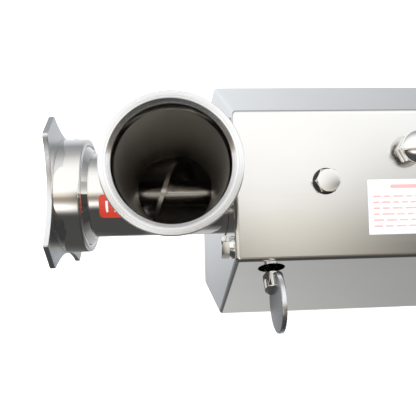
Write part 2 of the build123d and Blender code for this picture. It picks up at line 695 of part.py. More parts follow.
def gearbox_housing():
    body = x_prism(box_outline(), BOX_FRONT, COVER_FRONT)
    body -= x_prism(box_outline(BOX_WALL), LAY_SEAT, COVER_FRONT + 1)
    boss_end = BIG_SEAT + BEARING_BIG[2]
    body += x_rod(BEARING_BIG[0] + BEARING_BOSS, LAY_SEAT - 1, boss_end)
    body += x_rod(BEARING_LAY[0] + BEARING_BOSS, LAY_SEAT - 1, LAY_SEAT + BEARING_LAY[2], 0, -LAY_DROP)
    for x, y in top_fittings():
        body += z_rod(PLUG_R + 6, BOX_UP - 2, CASE_TOP - SHEET, x, y)
    body -= x_rod(BEARING_BIG[0], BIG_SEAT, boss_end + 1)
    body -= x_rod(SEAL_R, BOX_FRONT - 1, BIG_SEAT + 1)
    body -= x_rod(BEARING_LAY[0], LAY_SEAT, LAY_SEAT + BEARING_LAY[2] + 1, 0, -LAY_DROP)
    for x, y in top_fittings():
        body -= z_rod(PLUG_R, BOX_UP - BOX_WALL - 2, CASE_TOP, x, y)
    for y, z in cover_screw_spots():
        body -= x_rod(M5_R, COVER_FRONT - 16, COVER_FRONT + 1, y, z)
    return body - drain_thread()


def gearbox_cover():
    body = x_prism(box_outline(), COVER_FRONT, COVER_BACK)
    for bearing, drop, ring in ((BEARING_MID, 0, BEARING_BOSS), (BEARING_LAY, LAY_DROP, COVER_BOSS)):
        front = COVER_FRONT - bearing[2]
        body += x_rod(bearing[0] + ring, front, COVER_FRONT + 1, 0, -drop)
        body -= x_rod(bearing[0], front - 1, COVER_FRONT, 0, -drop)
    body -= x_rod(MOTOR_SEAL_R, COVER_FRONT - 20, COVER_BACK + 1, 0, -MOTOR_DROP)
    for y, z in cover_screw_spots():
        body -= x_rod(M5_CLEAR_R, COVER_FRONT - 1, COVER_BACK + 1, y, z)
    return body


def cover_screws():
    screws = []
    for y, z in cover_screw_spots():
        tip = COVER_BACK + M5_HEAD_HEIGHT
        head = x_rod(M5_HEAD_R, COVER_BACK, tip, y, z)
        head -= x_rod(M5_R, COVER_BACK + M5_HEAD_HEIGHT / 2, tip + 1, y, z)
        screws.append(head + x_rod(M5_R, COVER_FRONT - 12, COVER_BACK, y, z))
    return screws


def bearing_ring(bearing, x, drop):
    """Ball bearing as one ring with a shield groove in each face."""
    outer, bore, width = bearing
    z = -drop
    ring = x_tube(outer, bore + RUN, x, x + width, 0, z)
    groove_out = outer - 0.22 * (outer - bore)
    groove_in = bore + 0.30 * (outer - bore)
    for x0 in (x - 1, x + width - 1):
        ring -= x_tube(groove_out, groove_in, x0, x0 + 2, 0, z)
    return ring


def bearings():
    return {
        "output_front_bearing": [bearing_ring(BEARING_BIG, BIG_SEAT, 0)],
        "output_rear_bearing": [bearing_ring(BEARING_MID, COVER_FRONT - BEARING_MID[2], 0)],
        "layshaft_bearings": [
            bearing_ring(BEARING_LAY, LAY_SEAT, LAY_DROP),
            bearing_ring(BEARING_LAY, COVER_FRONT - BEARING_LAY[2], LAY_DROP),
        ],
        "motor_bearings": [
            bearing_ring(BEARING_MOTOR, MOTOR_TUBE_X - BEARING_MOTOR[2], MOTOR_DROP),
            bearing_ring(BEARING_LAY, MOTOR_REAR, MOTOR_DROP),
        ],
    }


def output_seal():
    return x_tube(SEAL_R, BEARING_BIG[1] + RUN, BOX_FRONT, BIG_SEAT)


def motor_seal():
    return x_tube(MOTOR_SEAL_R, MOTOR_SEAL_SEAT_R + RUN, COVER_FRONT + 2, COVER_BACK - 2, 0, -MOTOR_DROP)


def capped_hexagon(across, z0, z1, x, y):
    """Hexagon whose upper corners are turned down to a round crown."""
    crown = z_rod(across * HEX_CROWN, z0, z1, x, y)
    return z_hexagon(across, z0, z1, x, y) & chamfer(crown.edges().group_by(Axis.Z)[-1], HEX_BEVEL)


def plug_thread():
    """Lower end of the plugs' threads, inside the gearbox roof."""
    return BOX_UP - BOX_WALL + PLUG_END


def filler_plug():
    seat = CASE_TOP + WASHER_SHEET
    plug = capped_hexagon(PLUG_ACROSS, seat, seat + PLUG_HEIGHT, FILLER_BACK, FILLER_Y)
    return plug + z_rod(PLUG_R, plug_thread(), seat, FILLER_BACK, FILLER_Y)


def filler_washer():
    ring = z_rod(PLUG_ACROSS * 0.6, CASE_TOP, CASE_TOP + WASHER_SHEET, FILLER_BACK, FILLER_Y)
    ring = chamfer(ring.edges().group_by(Axis.Z)[-1], 0.4)
    return ring - z_rod(PLUG_R, CASE_TOP - 1, CASE_TOP + 2, FILLER_BACK, FILLER_Y)


def breather_base():
    spot = (BREATHER_BACK, BREATHER_Y)
    hexagon_top = CASE_TOP + BREATHER_HEX_HEIGHT
    stem_top = CASE_TOP + BREATHER_LIP + 3
    base = z_hexagon(PLUG_ACROSS + 2, CASE_TOP, hexagon_top, *spot)
    base += z_rod(PLUG_R, plug_thread(), CASE_TOP, *spot)
    base += z_rod(PLUG_R + 1, hexagon_top, stem_top, *spot)
    return base - z_rod(BREATHER_VENT_R, plug_thread() - 1, stem_top + 1, *spot)


def breather_cap():
    """Mushroom cap: a thin upright edge under a low dome."""
    low = CASE_TOP + BREATHER_LIP
    edge = low + BREATHER_LIP_EDGE
    high = CASE_TOP + BREATHER_TOP
    rise = high - edge
    dome_r = (BREATHER_CAP_R**2 + rise**2) / (2 * rise)
    cap = z_rod(BREATHER_CAP_R, low, high, BREATHER_BACK, BREATHER_Y)
    cap &= at(BREATHER_BACK, BREATHER_Y, high - dome_r) * Sphere(dome_r)
    return cap - z_rod(PLUG_R + 1, low - 1, low + 3, BREATHER_BACK, BREATHER_Y)


def drain_rod(radius, y0, y1):
    rod = Cylinder(radius, y1 - y0, align=(Align.CENTER, Align.CENTER, Align.MIN))
    return at(COVER_FRONT - DRAIN_IN, -y0, -BOX_DOWN + DRAIN_UP) * Rot(90, 0, 0) * rod


def drain_thread():
    return drain_rod(DRAIN_R, BOX_HALF - BOX_WALL - 1, BOX_HALF + 1)


def drain_plug():
    head = drain_rod(DRAIN_HEAD_R, BOX_HALF, BOX_HALF + DRAIN_HEAD_HEIGHT)
    return drain_rod(DRAIN_R, BOX_HALF - BOX_WALL, BOX_HALF) + head


# ---- Motor housing -----------------------------------------------------------------------
def motor_housing():
    z = -MOTOR_DROP
    skin = MOTOR_R - FIN_HEIGHT
    tube = x_tube(skin, skin - MOTOR_WALL, MOTOR_TUBE_X, MOTOR_REAR, 0, z)
    for i in range(FIN_COUNT):
        fin = Pos(skin, 0) * Rectangle(2 * FIN_HEIGHT, FIN_THICK)
        tube += x_prism(Pos(0, z) * Rot(0, 0, 360 / FIN_COUNT * i) * fin, MOTOR_TUBE_X + 6, MOTOR_REAR - 6)
    return tube


def motor_front_shield():
    z = -MOTOR_DROP
    shield = x_rod(MOTOR_R, MOTOR_FRONT, MOTOR_TUBE_X, 0, z)
    shield -= x_rod(BEARING_MOTOR[0], MOTOR_TUBE_X - BEARING_MOTOR[2], MOTOR_TUBE_X + 1, 0, z)
    shield -= x_rod(BEARING_MOTOR[1] + 3, MOTOR_FRONT - 1, MOTOR_TUBE_X, 0, z)
    for y, screw_z in cover_screw_spots():
        shield -= x_rod(M5_HEAD_R + 0.7, MOTOR_FRONT - 1, MOTOR_FRONT + M5_HEAD_HEIGHT + 1, y, screw_z)
    return shield


def motor_rear_shield():
    return x_tube(MOTOR_R, BEARING_LAY[0], MOTOR_REAR, REAR_SHIELD_BACK, 0, -MOTOR_DROP)


def stator_core():
    outer = MOTOR_R - FIN_HEIGHT - MOTOR_WALL
    return x_tube(outer, ROTOR_R + AIR_GAP, ROTOR_X, ROTOR_X + ROTOR_LENGTH, 0, -MOTOR_DROP)


def stator_windings():
    outer = MOTOR_R - FIN_HEIGHT - MOTOR_WALL - 5
    rings = []
    for x0 in (ROTOR_X - WINDING_REACH, ROTOR_X + ROTOR_LENGTH):
        rings.append(x_tube(outer, ROTOR_R + 5, x0, x0 + WINDING_REACH, 0, -MOTOR_DROP))
    return rings


def fan_cowl():
    z = -MOTOR_DROP
    back = REAR_SHIELD_BACK + COWL_LENGTH
    front = REAR_SHIELD_BACK - COWL_GRIP
    cup = x_rod(COWL_R, front, back, 0, z)
    cup -= x_rod(COWL_R - COWL_SHEET, front - 1, back - COWL_SHEET, 0, z)
    for radius, count in COWL_HOLES:
        for i in range(count):
            turn = 2 * pi * i / count
            y = radius * cos(turn)
            cup -= x_rod(COWL_HOLE_R, back - COWL_SHEET - 1, back + 1, y, z + radius * sin(turn))
    return cup


# ---- Stands under the gear motor ---------------------------------------------------------
def gearbox_stand():
    """Folded inverted U between the base plate and the gearbox."""
    floor = BASE_Z + BASE_SHEET
    top = -BOX_DOWN
    x0 = BOX_FRONT + STAND_IN
    x1 = COVER_FRONT - STAND_IN
    half = BOX_HALF - STAND_IN
    outer = block(x0, x1, -half, half, floor, top)
    inner = block(x0 - 1, x1 + 1, -half + STAND_SHEET, half - STAND_SHEET, floor - 1, top - STAND_SHEET)
    stand = outer - inner
    for side in (-1, 1):
        y0, y1 = sorted((side * half, side * (half + STAND_TAB)))
        stand += block(x0, x1, y0, y1, floor, floor + STAND_SHEET)
    return stand


def motor_saddles():
    floor = BASE_Z + BASE_SHEET
    saddles = []
    for x0 in (MOTOR_FRONT + 2, MOTOR_REAR + 1):
        plate = block(x0, x0 + SADDLE_SHEET, -SADDLE_HALF, SADDLE_HALF, floor, -MOTOR_DROP)
        plate += block(x0, x0 + SADDLE_FOOT, -SADDLE_HALF, SADDLE_HALF, floor, floor + SADDLE_SHEET)
        saddles.append(plate - x_rod(MOTOR_R, x0 - 1, x0 + SADDLE_FOOT + 1, 0, -MOTOR_DROP))
    return saddles


# ---- Casing ------------------------------------------------------------------------------
def case_outline(inset=0.0, bend=BEND_R):
    """Casing section: flat top, sloped shoulders, upright sides, cut off at the lower edge."""
    lean = radians(SLOPE_ANGLE)
    top = CASE_TOP - inset
    half = CASE_HALF - inset
    top_half = CASE_TOP_HALF - inset * tan((pi / 2 - lean) / 2)
    knee = -CASE_KNEE - inset * tan(lean / 2)
    low = BASE_Z
    points = [(-half, low), (-half, knee), (-top_half, top), (top_half, top), (half, knee), (half, low)]
    face = make_face(Polyline(*points, close=True))
    bends = face.vertices().filter_by(lambda v: v.Y > low + 1)
    return fillet(bends, bend)


def case_block(inset, bend, front, back):
    """Solid casing block with rounded front edges."""
    solid = x_prism(case_outline(inset, bend), front, back)
    edges = solid.edges().filter_by(lambda e: e.center().X < FRONT_X + front + 0.01)
    edges = edges.filter_by(lambda e: e.center().Z > AXIS_Z + BASE_Z + 0.5)
    return fillet(edges, bend * 0.9)


def switch_cut():
    plane = slope_plane(SWITCH_BACK, SWITCH_DOWN)
    return plane * Box(SWITCH_LENGTH - 22, SWITCH_WIDTH - 18, 30)


def case_screw_spots():
    """Station and height of the screws through each upright side."""
    low = BASE_Z + BASE_SHEET + BASE_LIP / 2
    spots = [(40.0 + (CASE_LENGTH - 100) / 3 * i, low) for i in range(4)]
    back = CASE_LENGTH - BACK_LIP / 2
    return spots + [(back, -CASE_KNEE - 60), (back, BASE_Z + 90)]


def casing_shell():
    """Folded and welded cover: front, top, slopes and sides; open below and behind."""
    shell = case_block(0, BEND_R, 0, CASE_LENGTH)
    shell -= case_block(SHEET, BEND_R - SHEET, SHEET, CASE_LENGTH + 5)
    shell -= x_rod(PANEL_HOLE_R, -1, SHEET + 1)
    for y, z in flange_bolt_spots():
        shell -= x_rod(M10_R, -1, SHEET + 1, y, z)
    for x, y in top_fittings():
        shell -= z_rod(PLUG_R, CASE_TOP - SHEET - 1, CASE_TOP + 1, x, y)
    shell -= slope_plane(LOCK_BACK, lock_hole_down()) * Cylinder(LOCK_HOLE_R, 12)
    shell -= switch_cut()
    for x, z in case_screw_spots():
        for side in (-1, 1):
            shell -= side_rod(CASE_SCREW_R, CASE_HALF - 4, CASE_HALF + 1, x, z, side)
    return shell


def lock_hole_down():
    """Distance down the slope from the top bend to the locking bolt."""
    z = LOCK_DIR[2] * LOCK_SURFACE
    return (CASE_TOP - z) / cos(radians(SLOPE_ANGLE))


def side_rod(radius, y0, y1, x, z, side):
    rod = Cylinder(radius, y1 - y0, align=(Align.CENTER, Align.CENTER, Align.MIN))
    return at(x, side * y0, z) * Rot(-90 * side, 0, 0) * rod


def case_screws():
    screws = []
    for side in (-1, 1):
        for x, z in case_screw_spots():
            head = side_rod(CASE_SCREW_HEAD_R, CASE_HALF, CASE_HALF + CASE_SCREW_HEAD, x, z, side)
            head = chamfer(head.edges().group_by(Axis.Y)[-1 if side > 0 else 0], 0.9)
            screws.append(head + side_rod(CASE_SCREW_R, CASE_HALF - 3.4, CASE_HALF, x, z, side))
    return screws


def base_plate():
    """Tray with a raised lip along each side, under the whole machine."""
    half = CASE_HALF - SHEET - EASE
    x0 = BEND_R + EASE
    x1 = CASE_LENGTH - BACK_SHEET - 2 * EASE
    floor = block(x0, x1, -half, half, BASE_Z, BASE_Z + BASE_SHEET)
    for side in (-1, 1):
        y0, y1 = sorted((side * half, side * (half - 1.5)))
        floor += block(x0, x1 - BACK_LIP - 2, y0, y1, BASE_Z, BASE_Z + BASE_SHEET + BASE_LIP)
    for side in (-1, 1):
        for x, z in case_screw_spots():
            floor -= side_rod(CASE_SCREW_R, half - 3, half + 2, x, z, side)
    return floor


def rubber_feet():
    feet = []
    for x in (FOOT_INSET, CASE_LENGTH - FOOT_INSET):
        for y in (-CASE_HALF + FOOT_INSET, CASE_HALF - FOOT_INSET):
            foot = z_rod(FOOT_R, -AXIS_Z, BASE_Z, x, y)
            feet.append(chamfer(foot.edges().group_by(Axis.Z)[0], 2.5))
    return feet


def back_panel():
    """Louvred lid with a forward lip that slips inside the casing's back edge."""
    outer = SHEET + EASE
    lid_back = CASE_LENGTH - EASE
    front = lid_back - BACK_LIP
    body = x_prism(case_outline(outer, BEND_R - SHEET), front, lid_back)
    body -= x_prism(case_outline(outer + BACK_SHEET, 1.0), front - 1, lid_back - BACK_SHEET)
    lip_low = BASE_Z + BASE_SHEET + EASE
    body -= block(front - 1, lid_back - BACK_SHEET, -CASE_HALF, CASE_HALF, BASE_Z - 1, lip_low)
    for i in range(LOUVRES):
        slot = Pos(0, LOUVRE_TOP - LOUVRE_PITCH * i) * SlotOverall(LOUVRE_LENGTH, LOUVRE_WIDTH)
        body -= x_prism(slot, lid_back - BACK_SHEET - 1, lid_back + 1)
    body -= x_rod(GLAND_THREAD_R, front, CASE_LENGTH + 1, GLAND_Y, gland_z())
    for side in (-1, 1):
        for x, z in case_screw_spots():
            body -= side_rod(CASE_SCREW_R, CASE_HALF - 5, CASE_HALF + 2, x, z, side)
    return body


def gland_z():
    return BASE_Z + GLAND_UP


def cable_gland():
    """Inlet for the supply cord, bored for it and left empty."""
    y = GLAND_Y
    z = gland_z()
    back = CASE_LENGTH - EASE
    tip = CASE_LENGTH + GLAND_REACH
    hexagon = Pos(y, z) * RegularPolygon(GLAND_ACROSS / 2, 6, major_radius=False)
    body = x_prism(hexagon, back, back + 6)
    dome = x_rod(GLAND_DOME_R, back + 6, tip, y, z)
    body += fillet(dome.edges().group_by(Axis.X)[-1], 3)
    body += x_rod(GLAND_THREAD_R, back - BACK_SHEET - 6, back, y, z)
    nut = x_prism(hexagon, back - BACK_SHEET - 5, back - BACK_SHEET)
    return body + nut - x_rod(CORD_BORE_R, back - 20, tip + 1, y, z)


def notice_label():
    corner = (Align.CENTER, Align.CENTER, Align.MIN)
    return at(LABEL_BACK, LABEL_Y, CASE_TOP) * Box(LABEL_LENGTH, LABEL_WIDTH, LABEL_THICK, align=corner)


# ---- Switch ------------------------------------------------------------------------------
def switch_plate():
    plane = slope_plane(SWITCH_BACK, SWITCH_DOWN)
    plate = extrude(RectangleRounded(SWITCH_LENGTH, SWITCH_WIDTH, 6), SWITCH_THICK)
    plate = chamfer(plate.edges().group_by(Axis.Z)[-1], 0.8)
    under = (Align.CENTER, Align.CENTER, Align.MAX)
    upright = (Align.CENTER, Align.CENTER, Align.MIN)
    plate += Box(SWITCH_LENGTH - 24, SWITCH_WIDTH - 20, SWITCH_BODY, align=under)
    for side in (-1, 1):
        well = Cylinder(BUTTON_R + GAP, WELL_DEPTH + SWITCH_THICK + 1, align=upright)
        plate -= Pos(side * BUTTON_PITCH / 2, 0, -WELL_DEPTH) * well
    return plane * plate


def button(side):
    plane = slope_plane(SWITCH_BACK, SWITCH_DOWN)
    low = -WELL_DEPTH + BUTTON_TRAVEL + 2
    tall = SWITCH_THICK + BUTTON_REACH - low
    cap = Pos(0, 0, low) * Cylinder(BUTTON_R, tall, align=(Align.CENTER, Align.CENTER, Align.MIN))
    cap = fillet(cap.edges().group_by(Axis.Z)[-1], 1.5)
    return plane * Pos(side * BUTTON_PITCH / 2, 0, 0) * cap


# ---- Assembly ----------------------------------------------------------------------------
def all_nodes():
    nodes = {
        "barrel_tube": barrel_tube(),
        "front_flange": front_flange(),
        "plate_key_pin": key_pin_rod(),
        "feed_throat": feed_throat(),
        "throat_rim": throat_rim(),
        "back_wall": back_wall(),
        "screw_bush": screw_bush(),
        "crushing_plate": crushing_plate(),
        "barrel_badge": barrel_badge(),
        "ring_nut": ring_nut(),
        "ring_nut_ears": ring_nut_ears(),
        "feed_screw": feed_screw(),
        "thrust_washer": thrust_washer(),
        "screw_stud": screw_stud(),
        "crushing_knife": crushing_knife(),
        "head_socket": head_socket(),
        "flange_washers": flange_washers(),
        "flange_bolts": flange_bolts(),
        "lock_bolt": lock_bolt(),
        "lock_disc": disc_blank(),
        "output_shaft": output_shaft(),
        "output_gear": output_gear(),
        "output_key": output_key_block(),
        "layshaft": layshaft(),
        "layshaft_gear": layshaft_gear(),
        "motor_shaft": motor_shaft(),
        "rotor_core": rotor_core(),
        "cooling_fan": cooling_fan(),
        "gearbox_housing": gearbox_housing(),
        "gearbox_cover": gearbox_cover(),
        "cover_screws": cover_screws(),
        "output_seal": output_seal(),
        "motor_seal": motor_seal(),
        "filler_plug": filler_plug(),
        "filler_washer": filler_washer(),
        "breather_base": breather_base(),
        "breather_cap": breather_cap(),
        "drain_plug": drain_plug(),
        "motor_housing": motor_housing(),
        "motor_front_shield": motor_front_shield(),
        "motor_rear_shield": motor_rear_shield(),
        "stator_core": stator_core(),
        "stator_windings": stator_windings(),
        "fan_cowl": fan_cowl(),
        "gearbox_stand": gearbox_stand(),
        "motor_saddles": motor_saddles(),
        "casing_shell": casing_shell(),
        "case_screws": case_screws(),
        "base_plate": base_plate(),
        "rubber_feet": rubber_feet(),
        "back_panel": back_panel(),
        "cable_gland": cable_gland(),
        "notice_label": notice_label(),
        "switch_plate": switch_plate(),
        "start_button": button(-1),
        "stop_button": button(1),
    }
    nodes.update(bearings())
    return nodes


def write_nodes():
    os.makedirs("parts", exist_ok=True)
    for name, shape in all_nodes().items():
        pieces = shape if isinstance(shape, list) else [shape]
        solids = [solid for piece in pieces for solid in piece.solids()]
        whole = solids[0] if len(solids) == 1 else Compound(children=solids)
        export_step(whole, f"parts/{name}.step")


write_nodes()
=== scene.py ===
import json
import random
from math import cos, pi, radians, sin

import bmesh
import bpy
from mathutils import Matrix, Vector


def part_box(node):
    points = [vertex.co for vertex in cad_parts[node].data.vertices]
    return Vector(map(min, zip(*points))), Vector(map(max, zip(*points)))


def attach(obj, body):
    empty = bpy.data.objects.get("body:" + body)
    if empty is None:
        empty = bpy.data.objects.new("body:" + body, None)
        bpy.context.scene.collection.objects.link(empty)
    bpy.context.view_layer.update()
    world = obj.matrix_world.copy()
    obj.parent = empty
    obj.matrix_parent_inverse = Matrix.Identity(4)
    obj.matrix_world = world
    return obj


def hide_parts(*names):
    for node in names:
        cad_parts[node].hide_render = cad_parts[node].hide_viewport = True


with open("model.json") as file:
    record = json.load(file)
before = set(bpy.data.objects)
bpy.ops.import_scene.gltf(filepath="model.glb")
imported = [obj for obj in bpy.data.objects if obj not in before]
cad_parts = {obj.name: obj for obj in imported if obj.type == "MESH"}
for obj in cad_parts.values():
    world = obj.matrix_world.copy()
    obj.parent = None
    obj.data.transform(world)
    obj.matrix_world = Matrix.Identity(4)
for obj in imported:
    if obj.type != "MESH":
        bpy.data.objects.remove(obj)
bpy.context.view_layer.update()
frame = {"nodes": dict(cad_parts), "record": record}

# ---- Where things are, from the frame ----------------------------------------------------
NODES = frame["nodes"]
BARREL_LOW, BARREL_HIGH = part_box("barrel_tube")
CASE_LOW, CASE_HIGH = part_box("casing_shell")
RIM_LOW, RIM_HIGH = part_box("throat_rim")
AXIS_Z = (BARREL_LOW.z + BARREL_HIGH.z) / 2
AXIS = Vector((0.0, 0.0, AXIS_Z))
THROAT = (RIM_LOW + RIM_HIGH) / 2
FRONT_X = CASE_LOW.x
MM = 0.001
UP = Vector((0, 0, 1))
ALONG = Vector((1, 0, 0))

# ---- Camera ------------------------------------------------------------------------------
CAMERA_BACK = 0.0463          # camera ahead of the casing's front face
CAMERA_SIDE = -0.0359
CAMERA_UP = 0.440             # above the barrel axis
CAMERA_LENS = 37.56
PITCH = radians(2.72)         # leans the view towards +Y
YAW = radians(3.79)           # leans the view towards +X
ROLL = radians(-1.24)


def make_camera():
    data = bpy.data.cameras.new("camera")
    data.lens = CAMERA_LENS
    data.sensor_width = 36.0
    camera = bpy.data.objects.new("camera", data)
    bpy.context.scene.collection.objects.link(camera)
    right = Vector((1, 0, 0))
    ahead = Vector((0, sin(PITCH), -cos(PITCH)))
    up = Vector((0, cos(PITCH), sin(PITCH)))
    right, ahead = right * cos(YAW) - ahead * sin(YAW), ahead * cos(YAW) + right * sin(YAW)
    right, up = right * cos(ROLL) + up * sin(ROLL), up * cos(ROLL) - right * sin(ROLL)
    place = Matrix((right, up, -ahead)).transposed().to_4x4()
    place.translation = Vector((FRONT_X - CAMERA_BACK, CAMERA_SIDE, AXIS_Z + CAMERA_UP))
    camera.matrix_world = place
    bpy.context.scene.camera = camera


# ---- Node helpers --------------------------------------------------------------------------
class Graph:
    """Short names for building one node tree."""

    def __init__(self, tree):
        self.tree = tree
        tree.nodes.clear()

    def add(self, kind, **values):
        node = self.tree.nodes.new(kind)
        for name, value in values.items():
            setattr(node, name, value)
        return node

    def link(self, source, target):
        self.tree.links.new(source, target)

    def math(self, operation, first, second=None, third=None, clamp=False):
        node = self.add("ShaderNodeMath", operation=operation, use_clamp=clamp)
        for socket, value in zip(node.inputs, (first, second, third)):
            if value is None:
                continue
            if isinstance(value, (int, float)):
                socket.default_value = value
            else:
                self.link(value, socket)
        return node.outputs[0]

    @staticmethod
    def rgba(colour):
        return (colour,) * 3 + (1.0,) if isinstance(colour, (int, float)) else (*colour, 1.0)

    def ramp(self, factor, stops, mode="LINEAR"):
        """Colour ramp; stops are (position, grey) or (position, (r, g, b))."""
        node = self.add("ShaderNodeValToRGB")
        node.color_ramp.interpolation = mode
        elements = node.color_ramp.elements
        for element, (position, colour) in zip([elements[0], elements[1]], [stops[0], stops[-1]]):
            element.position = position
            element.color = self.rgba(colour)
        for position, colour in stops[1:-1]:
            elements.new(position).color = self.rgba(colour)
        self.link(factor, node.inputs[0])
        return node.outputs[0]

    def noise(self, vector, scale, detail=2.0, roughness=0.5):
        node = self.add("ShaderNodeTexNoise")
        node.inputs["Scale"].default_value = scale
        node.inputs["Detail"].default_value = detail
        node.inputs["Roughness"].default_value = roughness
        self.link(vector, node.inputs["Vector"])
        return node.outputs["Fac"]

    def stretch(self, vector, scale):
        node = self.add("ShaderNodeMapping")
        node.inputs["Scale"].default_value = scale
        self.link(vector, node.inputs["Vector"])
        return node.outputs["Vector"]

    def mix(self, factor, first, second):
        node = self.add("ShaderNodeMix", data_type="RGBA")
        values = ((node.inputs[0], factor), (node.inputs[6], first), (node.inputs[7], second))
        for socket, value in values:
            if isinstance(value, (int, float)):
                socket.default_value = value
            elif isinstance(value, tuple):
                socket.default_value = (*value, 1.0)
            else:
                self.link(value, socket)
        return node.outputs[2]


# ---- Surroundings --------------------------------------------------------------------------
PLAIN = (1.0, 1.0, 0.99)
WARM = (1.0, 0.95, 0.84)
BROWN = (1.0, 0.82, 0.65)
COOL = (0.96, 0.99, 1.03)
SKY = [
    # degrees from straight up towards the operator (-Y), grey level, tint
    (-180, 0.74, COOL),       # the floor, underneath
    (-150, 0.98, COOL), (-125, 0.66, COOL), (-110, 0.36, COOL), (-95, 0.42, COOL),
    (-82, 0.56, PLAIN), (-72, 0.82, PLAIN), (-60, 1.06, PLAIN), (-50, 1.18, PLAIN),
    (-16, 1.22, PLAIN),       # the bright tent, from here to just past the top
    (-8, 1.22, PLAIN), (-4, 1.22, PLAIN),
    (-1, 1.10, WARM), (4, 0.83, WARM), (8, 0.49, BROWN),
    (13, 0.34, BROWN), (18, 0.26, BROWN), (32, 0.15, BROWN),
    (44, 0.075, PLAIN), (60, 0.055, PLAIN), (104, 0.06, PLAIN),       # the dark gap
    (122, 0.25, PLAIN), (131, 0.52, PLAIN), (140, 0.60, PLAIN), (150, 0.60, PLAIN),
    (160, 0.56, COOL), (171, 0.52, COOL), (180, 0.74, COOL),
]
SLIT_COLOUR = (1.55, 1.55, 1.50)
GAP_COLOUR = (0.075, 0.075, 0.073)
LOW_COLOUR = (0.17, 0.17, 0.17)
CAMERA_COLOUR = (0.07, 0.075, 0.085)
CEILING_COLOUR = (0.07, 0.07, 0.06)
FLOOR_FADE = 0.75             # how far the floor's light falls off towards the back of the machine


def sky_stops():
    return [((angle + 180) / 360, tuple(level * c for c in tint)) for angle, level, tint in SKY]


def blob(g, across, along, middle, width):
    """Soft elliptical spot on the sky: 1 in the middle, falling to 0 over `width` degrees."""
    u = g.math("MULTIPLY_ADD", across, 1.0 / width[0], -middle[0] / width[0])
    v = g.math("MULTIPLY_ADD", along, 1.0 / width[1], -middle[1] / width[1])
    square = g.math("ADD", g.math("MULTIPLY", u, u), g.math("MULTIPLY", v, v))
    return g.math("EXPONENT", g.math("MULTIPLY", square, -1.0))


def band(g, value, start, end):
    """0 at `start`, 1 at `end`, straight in between."""
    return g.math("MULTIPLY_ADD", value, 1.0 / (end - start), -start / (end - start), clamp=True)


def make_world():
    """Studio surroundings: a bright tent, a dark gap towards the operator and dim patches overhead."""
    world = bpy.data.worlds.new("studio")
    bpy.context.scene.world = world
    world.use_nodes = True
    g = Graph(world.node_tree)
    where = g.add("ShaderNodeTexCoord").outputs["Generated"]
    split = g.add("ShaderNodeSeparateXYZ")
    g.link(where, split.inputs[0])
    x, y, z = split.outputs
    along = g.math("MULTIPLY", g.math("ARCTAN2", g.math("MULTIPLY", y, -1.0), z), 180 / pi)
    across = g.math("MULTIPLY", g.math("ARCSINE", x), 180 / pi)
    sky = g.ramp(g.math("MULTIPLY_ADD", along, 1 / 360, 0.5), sky_stops())
    # bright slit in the tent, on the outlet's side only
    slit = blob(g, across, along, (-20.0, 26.5), (20.0, 8.5))
    sky = g.mix(slit, sky, SLIT_COLOUR)
    # the dark gap reaches further down on the outlet's side, and the floor there is dimmer
    gap = g.math("MULTIPLY", band(g, along, 35.0, 55.0), band(g, along, 166.0, 150.0))
    sky = g.mix(g.math("MULTIPLY", gap, band(g, across, 3.0, -5.0)), sky, GAP_COLOUR)
    low = g.math("MULTIPLY", band(g, along, 120.0, 150.0), band(g, along, 180.0, 172.0))
    low = g.math("MULTIPLY", low, band(g, across, -7.5, -12.0))
    sky = g.mix(g.math("MULTIPLY", low, 0.75), sky, LOW_COLOUR)
    # the camera's own dark shape, and the dim ceiling towards the back of the machine
    shape = blob(g, across, along, (0.0, 6.0), (8.5, 9.0))
    sky = g.mix(g.math("MULTIPLY", shape, 0.97), sky, CAMERA_COLOUR)
    ceiling = blob(g, across, along, (34.0, 5.0), (15.0, 13.0))
    sky = g.mix(g.math("MULTIPLY", ceiling, 0.95), sky, CEILING_COLOUR)
    # below the horizon the light falls off towards the back of the machine
    below = g.math("MULTIPLY", z, -1.5, clamp=True)
    fall = g.math("MULTIPLY", g.math("MAXIMUM", x, 0.0), below)
    fall = g.math("MULTIPLY_ADD", fall, -FLOOR_FADE, 1.0, clamp=True)
    both = g.add("ShaderNodeMix", data_type="RGBA", blend_type="MULTIPLY")
    both.inputs[0].default_value = 1.0
    g.link(sky, both.inputs[6])
    g.link(fall, both.inputs[7])
    studio = g.add("ShaderNodeBackground")
    g.link(both.outputs[2], studio.inputs["Color"])
    plain = g.add("ShaderNodeBackground")
    plain.inputs["Color"].default_value = (1.0, 1.0, 1.0, 1.0)
    choose = g.add("ShaderNodeMixShader")
    g.link(g.add("ShaderNodeLightPath").outputs["Is Camera Ray"], choose.inputs[0])
    g.link(studio.outputs[0], choose.inputs[1])
    g.link(plain.outputs[0], choose.inputs[2])
    g.link(choose.outputs[0], g.add("ShaderNodeOutputWorld").inputs[0])


def area_light(name, place, target, size, power):
    data = bpy.data.lights.new(name, "AREA")
    data.size = size
    data.energy = power
    light = bpy.data.objects.new(name, data)
    bpy.context.scene.collection.objects.link(light)
    light.location = place
    light.rotation_euler = (Vector(target) - Vector(place)).to_track_quat("-Z", "Y").to_euler()
    light.visible_glossy = False
    light.visible_camera = False


LIGHT_SIZE = 1.2
LIGHT_TARGET = (0, 0, 0.4)
KEY_POWER = 22                # watts
FILL_POWER = 12


def make_lights():
    area_light("key_light", (-0.7, 0.6, 1.7), LIGHT_TARGET, LIGHT_SIZE, KEY_POWER)
    area_light("fill_light", (0.6, -1.0, 1.5), LIGHT_TARGET, LIGHT_SIZE, FILL_POWER)


FLOOR_HALF = 6.0
FLOOR_DROP = 0.5 * MM         # keeps the floor clear of the feet
FLOOR_GREY = 0.93
FLOOR_GLOW = 0.55
FLOOR_ROUGH = 0.9


